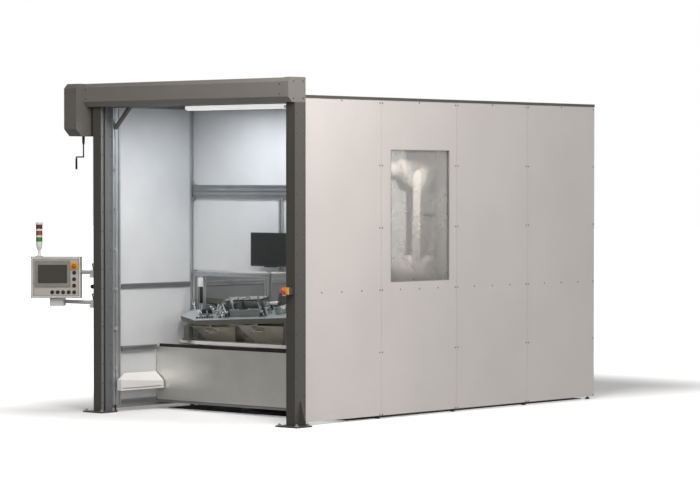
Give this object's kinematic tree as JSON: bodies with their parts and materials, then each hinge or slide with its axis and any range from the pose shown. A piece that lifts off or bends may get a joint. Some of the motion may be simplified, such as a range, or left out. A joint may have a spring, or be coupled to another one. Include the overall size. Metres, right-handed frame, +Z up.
{
  "type": "robotic laser cell",
  "caption": "Closed machine house with a roller door, swing-arm operator panel, two-station turntable with inclined tops, and a robot that carries a laser head behind a partition.",
  "frame": {"origin": "on the floor, on the turntable's axis", "axes": "+X to the operator's right, +Y into the cell away from the door, +Z up"},
  "size_m": [2.9991, 4.4383, 2.866],
  "materials": {
    "column_paint": "satin",
    "wall_paint": "satin",
    "lining_sheet": "satin",
    "skirt_paint": "satin",
    "safety_pane": "smooth",
    "framing_profile": "anodised",
    "black_cast": "matte",
    "lamp_diffuser": "smooth",
    "arm_cast": "painted",
    "clip_plastic": "satin",
    "estop_yellow": "satin",
    "estop_red": "gloss",
    "black_plastic": "matte",
    "crank_steel": "satin",
    "curtain_fabric": "woven",
    "panel_paint": "textured",
    "display_frame": "satin",
    "tower_body": "satin",
    "tower_lens": "gloss",
    "ground_steel": "ground",
    "clamp_steel": "polished",
    "tray_sheet": "satin",
    "robot_paint": "satin",
    "head_anodised": "anodised"
  },
  "bodies": {
    "root": {"door_column_left": "column_paint", "door_column_right": "column_paint", "anchor_plates": "column_paint", "header_cover": "column_paint", "header_end_cap": "column_paint", "drive_housing": "column_paint", "right_wall_panel_1": "wall_paint", "right_wall_panel_2": "wall_paint", "right_wall_panel_3": "wall_paint", "right_wall_panel_4": "wall_paint", "window_pane": "safety_pane", "left_and_rear_panels": "wall_paint", "roof_panels": "wall_paint", "wall_linings": "lining_sheet", "frame_posts": "framing_profile", "frame_rails": "framing_profile", "wall_cap_rails": "column_paint", "levelling_feet": "black_cast", "partition_panels": "lining_sheet", "skirt_panel": "skirt_paint", "slope_cover": "wall_paint", "ceiling_lamp": "lamp_diffuser", "monitor_bracket": "column_paint", "turntable_base": "black_cast", "robot_pedestal": "black_cast", "column_estop_box": "estop_yellow", "arm_hinge_blocks": "arm_cast", "header_brace": "column_paint", "door_clips": "clip_plastic"},
    "door": {"door_bar": "framing_profile", "door_curtain": "curtain_fabric"},
    "drum": {"curtain_drum": "curtain_fabric"},
    "crank": {"hand_crank": "crank_steel"},
    "knob": {"door_knob": "black_plastic"},
    "operator_arm": {"panel_arm": "arm_cast", "panel_cabinet": "panel_paint", "panel_display": "display_frame", "panel_buttons": "black_plastic", "signal_tower_body": "tower_body", "signal_tower_lenses": "tower_lens"},
    "panel_estop": {"panel_estop_button": "estop_red"},
    "column_estop": {"column_estop_button": "estop_red"},
    "turntable": {"turntable_platform": "framing_profile", "table_tops": "ground_steel", "table_legs": "ground_steel", "table_fixtures": "ground_steel", "station_divider": "framing_profile", "rear_trays": "tray_sheet"},
    "tray_left": {"tray_left": "tray_sheet"},
    "tray_middle": {"tray_middle": "tray_sheet"},
    "tray_right": {"tray_right": "tray_sheet"},
    "clamp_left": {"clamp_lever_left": "clamp_steel"},
    "clamp_right": {"clamp_lever_right": "clamp_steel"},
    "robot_turret": {"robot_turret": "robot_paint"},
    "robot_lower_arm": {"robot_lower_arm": "robot_paint"},
    "robot_elbow": {"robot_elbow": "robot_paint"},
    "robot_forearm": {"robot_forearm": "robot_paint"},
    "robot_wrist": {"robot_wrist": "robot_paint"},
    "laser_head": {"laser_head": "head_anodised"},
    "monitor": {"monitor": "black_plastic"}
  },
  "joints": [
    {"name": "door_travel", "type": "slide", "parent": "root", "child": "door", "axis": [0, 0, -1], "range_m": [0, 2.64], "deforming": ["door_curtain"]},
    {"name": "drum_turn", "type": "hinge", "parent": "root", "child": "drum", "pos_m": [0, -1.1438, 2.7695], "axis": [1, 0, 0], "range_deg": [-2700, 0]},
    {"name": "crank_turn", "type": "hinge", "parent": "root", "child": "crank", "pos_m": [-1.3185, -1.13, 2.3], "axis": [0, 0, 1], "continuous": true},
    {"name": "knob_turn", "type": "hinge", "parent": "root", "child": "knob", "pos_m": [-1.1968, -1.068, 1.093], "axis": [1, 0, 0], "range_deg": [0, 90]},
    {"name": "operator_arm_swing", "type": "hinge", "parent": "root", "child": "operator_arm", "pos_m": [-1.2265, -1.105, 1.088], "axis": [0, 0, 1], "range_deg": [-40, 75]},
    {"name": "panel_estop_press", "type": "slide", "parent": "operator_arm", "child": "panel_estop", "axis": [-0.6561, 0.7547, 0], "range_m": [0, 0.006], "stiffness_N_per_m": 1500},
    {"name": "column_estop_press", "type": "slide", "parent": "root", "child": "column_estop", "axis": [0, 1, 0], "range_m": [0, 0.006], "stiffness_N_per_m": 1500},
    {"name": "table_index", "type": "hinge", "parent": "root", "child": "turntable", "pos_m": [0, 0, 0.6], "axis": [0, 0, 1], "range_deg": [0, 180]},
    {"name": "tray_left_slide", "type": "slide", "parent": "turntable", "child": "tray_left", "axis": [0, -1, 0], "range_m": [0, 0.25]},
    {"name": "tray_middle_slide", "type": "slide", "parent": "turntable", "child": "tray_middle", "axis": [0, -1, 0], "range_m": [0, 0.25]},
    {"name": "tray_right_slide", "type": "slide", "parent": "turntable", "child": "tray_right", "axis": [0, -1, 0], "range_m": [0, 0.25]},
    {"name": "clamp_left_lift", "type": "hinge", "parent": "turntable", "child": "clamp_left", "pos_m": [-0.34758, -0.33681, 0.86616], "axis": [0.9986, 0, 0.0523], "range_deg": [0, 70]},
    {"name": "clamp_right_lift", "type": "hinge", "parent": "turntable", "child": "clamp_right", "pos_m": [0.07484, -0.33681, 0.8883], "axis": [0.9986, 0, 0.0523], "range_deg": [0, 70]},
    {"name": "robot_j1", "type": "hinge", "parent": "root", "child": "robot_turret", "pos_m": [0, 1.9, 0.8], "axis": [0, 0, 1], "range_deg": [-60, 60]},
    {"name": "robot_j2", "type": "hinge", "parent": "robot_turret", "child": "robot_lower_arm", "pos_m": [0, 1.75, 1.199], "axis": [1, 0, 0], "range_deg": [-15, 15]},
    {"name": "robot_j3", "type": "hinge", "parent": "robot_lower_arm", "child": "robot_elbow", "pos_m": [0, 1.75, 2.029], "axis": [1, 0, 0], "range_deg": [-20, 15]},
    {"name": "robot_j4", "type": "hinge", "parent": "robot_elbow", "child": "robot_forearm", "pos_m": [0, 1.5, 2.109], "axis": [0, -1, 0], "range_deg": [-45, 45]},
    {"name": "robot_j5", "type": "hinge", "parent": "robot_forearm", "child": "robot_wrist", "pos_m": [0, 0.99, 2.109], "axis": [1, 0, 0], "range_deg": [-30, 30]},
    {"name": "robot_j6", "type": "hinge", "parent": "robot_wrist", "child": "laser_head", "pos_m": [0, 0.99, 1.99], "axis": [0, 0, 1], "range_deg": [-180, 180]},
    {"name": "monitor_swivel", "type": "hinge", "parent": "root", "child": "monitor", "pos_m": [0, -0.084, 1.42], "axis": [0, 0, 1], "range_deg": [-20, 20]}
  ],
  "couplings": [
    {"joint": "drum_turn", "follows": "door_travel", "rad_per_m": -17.7}
  ]
}
